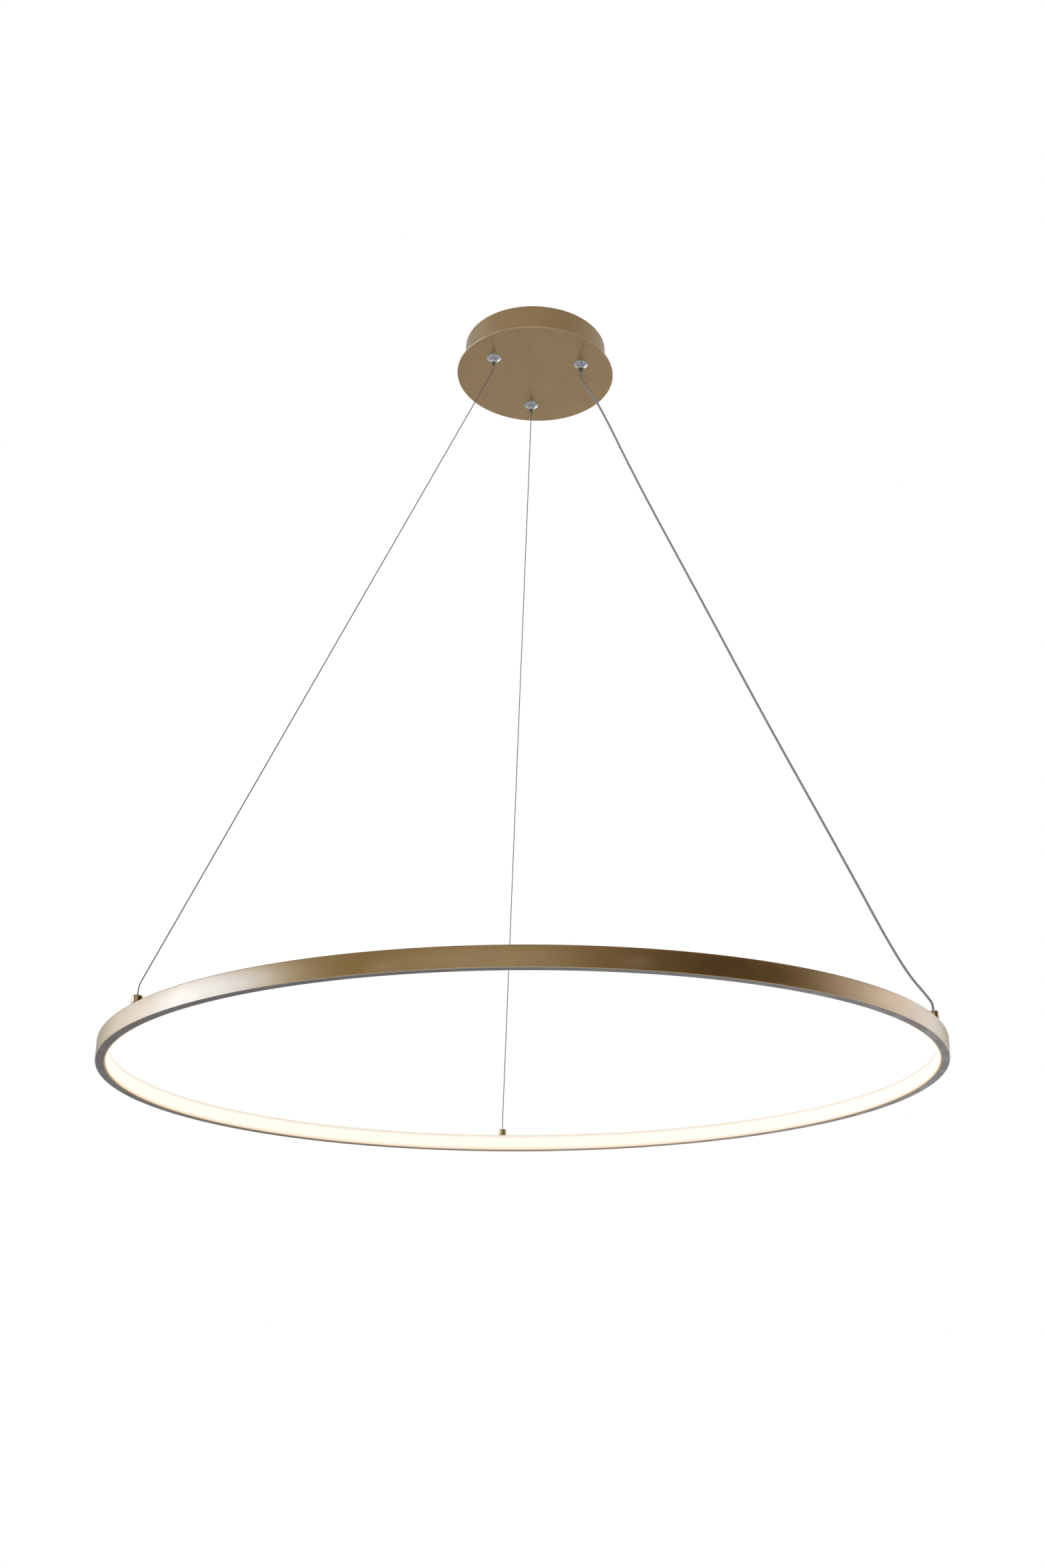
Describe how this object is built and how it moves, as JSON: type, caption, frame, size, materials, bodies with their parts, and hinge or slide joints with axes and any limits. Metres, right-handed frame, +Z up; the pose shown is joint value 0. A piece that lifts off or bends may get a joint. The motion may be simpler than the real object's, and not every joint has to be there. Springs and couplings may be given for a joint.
{
  "type": "ring pendant lamp",
  "caption": "Ring pendant lamp: a slim lit ring hung on steel wires and a feed cable from a round ceiling canopy, with height set by cable grippers.",
  "frame": {"origin": "centre of the canopy on the ceiling plane", "axes": "+Z up into the ceiling, +Y towards the far suspension wire, +X along the ceiling bracket"},
  "size_m": [0.8999, 0.9, 0.955],
  "materials": {
    "gold_coat": "champagne gold coating with a fine metallic grain",
    "canopy_gold": "matt gold coating",
    "satin_brass": "satin brass",
    "chrome_plate": "polished",
    "opal_cover": "opal satin, lit from behind",
    "zinc_steel": "zinc plated",
    "bright_steel": "bright drawn",
    "wire_rope": "stranded steel wire rope",
    "feed_sheath": "clear sheath over braided cores",
    "black_steel": "blackened",
    "white_plastic": "fine textured",
    "board_green": "solder mask",
    "part_dark": "satin",
    "grey_rubber": "matt",
    "foam_pad": "foam",
    "ivory_plastic": "satin",
    "contact_brass": "plain",
    "lead_brown": "satin",
    "lead_blue": "satin",
    "lead_earth": "satin, striped",
    "strip_white": "satin",
    "chip_yellow": "lit",
    "core_red": "satin"
  },
  "bodies": {
    "canopy": {"canopy_drum": "canopy_gold", "canopy_nuts": "zinc_steel", "canopy_plate": "canopy_gold", "ceiling_bracket": "zinc_steel", "driver_board": "board_green", "driver_case": "white_plastic", "driver_grommets": "grey_rubber", "driver_lid": "white_plastic", "driver_nuts": "zinc_steel", "driver_parts": "part_dark", "earth_lead": "lead_earth", "earth_lug": "zinc_steel", "earth_nut": "zinc_steel", "feed_cable": "feed_sheath", "feed_tail": "feed_sheath", "gripper_body_far": "chrome_plate", "gripper_body_left": "chrome_plate", "gripper_body_right": "chrome_plate", "gripper_nuts": "zinc_steel", "gripper_plugs": "zinc_steel", "gripper_spring_far": "bright_steel", "gripper_spring_left": "bright_steel", "gripper_spring_right": "bright_steel", "gripper_washers": "zinc_steel", "gripper_wedges": "bright_steel", "live_lead": "lead_brown", "neutral_lead": "lead_blue", "side_screws": "canopy_gold", "suspension_wire_far": "wire_rope", "suspension_wire_left": "wire_rope", "terminal_block": "ivory_plastic", "terminal_contacts": "contact_brass", "terminal_pad": "foam_pad", "terminal_screws": "zinc_steel", "wire_tail_far": "wire_rope", "wire_tail_left": "wire_rope"},
    "ring": {"ring_profile": "gold_coat", "diffuser": "opal_cover", "led_strip": "strip_white", "led_chips": "chip_yellow", "ferrule_left": "satin_brass", "ferrule_right": "satin_brass", "ferrule_far": "satin_brass", "ferrule_screws": "zinc_steel", "grub_screws": "black_steel", "wire_stops": "bright_steel", "feed_end": "feed_sheath", "strip_leads": "core_red"},
    "tip_left": {"gripper_tip_left": "chrome_plate", "gripper_balls_left": "bright_steel"},
    "tip_right": {"gripper_tip_right": "chrome_plate", "gripper_balls_right": "bright_steel"},
    "tip_far": {"gripper_tip_far": "chrome_plate", "gripper_balls_far": "bright_steel"}
  },
  "joints": [
    {"name": "ring_height", "type": "slide", "parent": "canopy", "child": "ring", "axis": [0, 0, 1], "range_m": [0, 0.45], "deforming": ["suspension_wire_left", "suspension_wire_far", "feed_cable"]},
    {"name": "release_left", "type": "slide", "parent": "canopy", "child": "tip_left", "axis": [0, 0, 1], "range_m": [0, 0.002], "stiffness_N_per_m": 450, "springref_m": -0.004, "deforming": ["gripper_spring_left"]},
    {"name": "release_right", "type": "slide", "parent": "canopy", "child": "tip_right", "axis": [0, 0, 1], "range_m": [0, 0.002], "stiffness_N_per_m": 450, "springref_m": -0.004, "deforming": ["gripper_spring_right"]},
    {"name": "release_far", "type": "slide", "parent": "canopy", "child": "tip_far", "axis": [0, 0, 1], "range_m": [0, 0.002], "stiffness_N_per_m": 450, "springref_m": -0.004, "deforming": ["gripper_spring_far"]}
  ]
}
